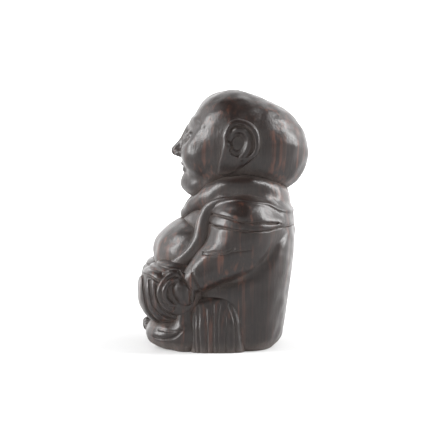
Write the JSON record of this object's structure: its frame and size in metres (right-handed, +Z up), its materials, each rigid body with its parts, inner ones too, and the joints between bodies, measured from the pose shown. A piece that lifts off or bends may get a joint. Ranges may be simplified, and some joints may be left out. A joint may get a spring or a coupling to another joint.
{
  "type": "seated monk figurine",
  "caption": "Carved dark hardwood figurine of a bald, big-bellied monk seated in a draped robe, hands on the knees; stands on its flat underside.",
  "frame": {"origin": "on the floor, under the middle of the figure's outline", "axes": "+Z up through the head, -Y the way the figure faces, +X the figure's own left side"},
  "size_m": [0.0816, 0.0782, 0.12],
  "materials": {
    "ebony": "polished"
  },
  "bodies": {
    "root": {"left_ear": "ebony", "right_ear": "ebony", "head": "ebony", "left_hand": "ebony", "right_hand": "ebony", "left_lapel": "ebony", "right_lapel": "ebony", "left_sleeve": "ebony", "right_sleeve": "ebony", "left_foot": "ebony", "right_foot": "ebony", "waist_sash": "ebony", "left_knee": "ebony", "right_knee": "ebony", "left_skirt": "ebony", "right_skirt": "ebony", "lap_cloth": "ebony", "belly": "ebony", "chest": "ebony", "shoulder_cape": "ebony", "trunk": "ebony"}
  },
  "joints": []
}
